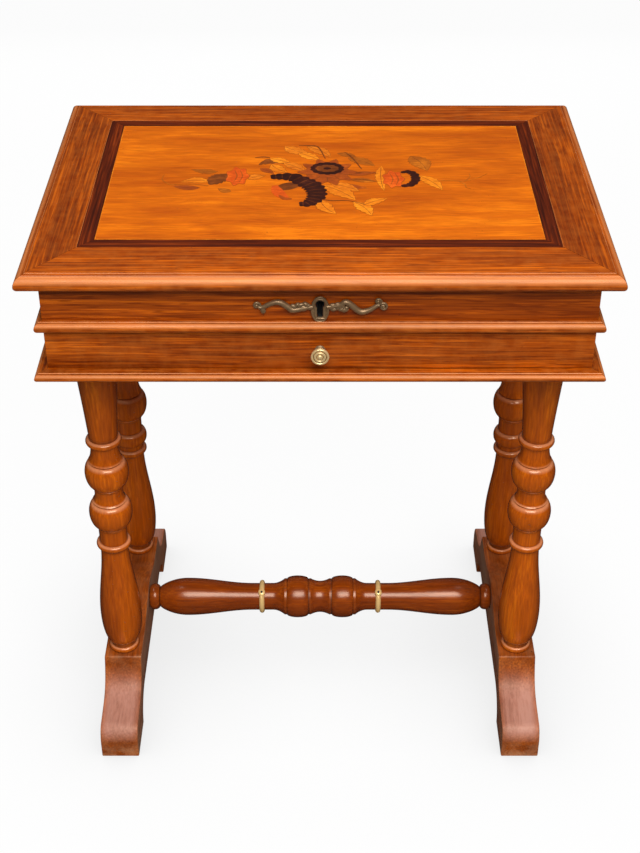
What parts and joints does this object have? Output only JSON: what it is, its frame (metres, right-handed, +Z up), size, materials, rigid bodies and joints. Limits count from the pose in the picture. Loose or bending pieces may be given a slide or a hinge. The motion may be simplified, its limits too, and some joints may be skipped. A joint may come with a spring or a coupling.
{
  "type": "work table",
  "caption": "Free-standing work table with an inlaid hinged lid over a locking compartment, a full-width drawer below it, turned legs on sledge feet and a turned stretcher.",
  "frame": {"origin": "on the floor, under the middle of the table's outline", "axes": "+Z up, the drawer and keyhole face -Y, +X to the right of someone who looks at the front"},
  "size_m": [0.6, 0.433, 0.686],
  "materials": {
    "frame_wood": "satin French polish",
    "band_wood": "satin French polish",
    "field_wood": "satin French polish",
    "case_wood": "satin French polish",
    "leg_wood": "gloss French polish",
    "foot_wood": "worn French polish",
    "lining_wood": "bare planed wood",
    "bronze": "dark antique bronze",
    "brass": "antique brass",
    "iron": "dark iron"
  },
  "bodies": {
    "table": {"case_front": "case_wood", "case_back": "case_wood", "case_left": "case_wood", "case_right": "case_wood", "compartment_floor": "lining_wood", "case_bottom": "case_wood", "mid_moulding_front": "case_wood", "mid_moulding_back": "case_wood", "mid_moulding_left": "case_wood", "mid_moulding_right": "case_wood", "base_moulding_front": "case_wood", "base_moulding_back": "case_wood", "base_moulding_left": "case_wood", "base_moulding_right": "case_wood", "hinge_left_case_leaf": "brass", "hinge_right_case_leaf": "brass", "hinge_left_pin": "brass", "hinge_right_pin": "brass", "lock_case": "iron", "lock_selvage": "brass", "escutcheon": "bronze", "leg_front_left": "leg_wood", "leg_front_right": "leg_wood", "leg_rear_left": "leg_wood", "leg_rear_right": "leg_wood", "foot_left": "foot_wood", "foot_right": "foot_wood", "stretcher": "leg_wood", "stretcher_ring_left": "brass", "stretcher_ring_right": "brass"},
    "lid": {"lid_frame_front": "frame_wood", "lid_frame_back": "frame_wood", "lid_frame_left": "frame_wood", "lid_frame_right": "frame_wood", "lid_panel": "lining_wood", "lid_field": "field_wood", "lid_band_front": "band_wood", "lid_band_back": "band_wood", "lid_band_left": "band_wood", "lid_band_right": "band_wood", "lid_strike_plate": "brass", "hinge_left_lid_leaf": "brass", "hinge_right_lid_leaf": "brass"},
    "drawer": {"drawer_front": "case_wood", "drawer_left": "lining_wood", "drawer_right": "lining_wood", "drawer_back": "lining_wood", "drawer_bottom": "lining_wood", "knob": "brass", "knob_screw": "iron"},
    "bolt": {"lock_bolt": "brass"}
  },
  "joints": [
    {"name": "lid_hinge", "type": "hinge", "parent": "table", "child": "lid", "pos_m": [0, 0.1992, 0.66935], "axis": [-1, 0, 0], "range_deg": [0, 95]},
    {"name": "drawer_slide", "type": "slide", "parent": "table", "child": "drawer", "axis": [0, -1, 0], "range_m": [0, 0.26]},
    {"name": "lock_bolt_slide", "type": "slide", "parent": "table", "child": "bolt", "axis": [0, 0, 1], "range_m": [0, 0.0055]}
  ]
}
